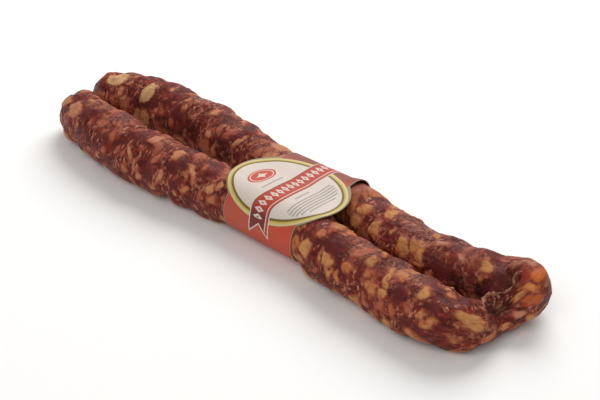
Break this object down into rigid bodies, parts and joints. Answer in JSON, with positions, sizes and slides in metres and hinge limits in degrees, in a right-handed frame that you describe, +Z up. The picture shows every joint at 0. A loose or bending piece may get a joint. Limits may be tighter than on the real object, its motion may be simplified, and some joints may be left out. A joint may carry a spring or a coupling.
{
  "type": "cured sausage",
  "caption": "Dry-cured coarse pork sausage folded into a narrow horseshoe, held by a printed paper band, lying flat.",
  "frame": {"origin": "on the surface it lies on, under the middle of the bounding box", "axes": "+X along the two legs from the free ends to the fold, +Y from the front leg to the rear leg, +Z up"},
  "size_m": [0.3416, 0.088, 0.0338],
  "materials": {
    "casing": "thin natural casing, satin, marbled dark red meat and cream fat",
    "printed_paper": "smooth printed paper, brick red with a pale oval and a gold ring"
  },
  "bodies": {
    "root": {"sausage": "casing", "paper_band": "printed_paper"}
  },
  "joints": []
}
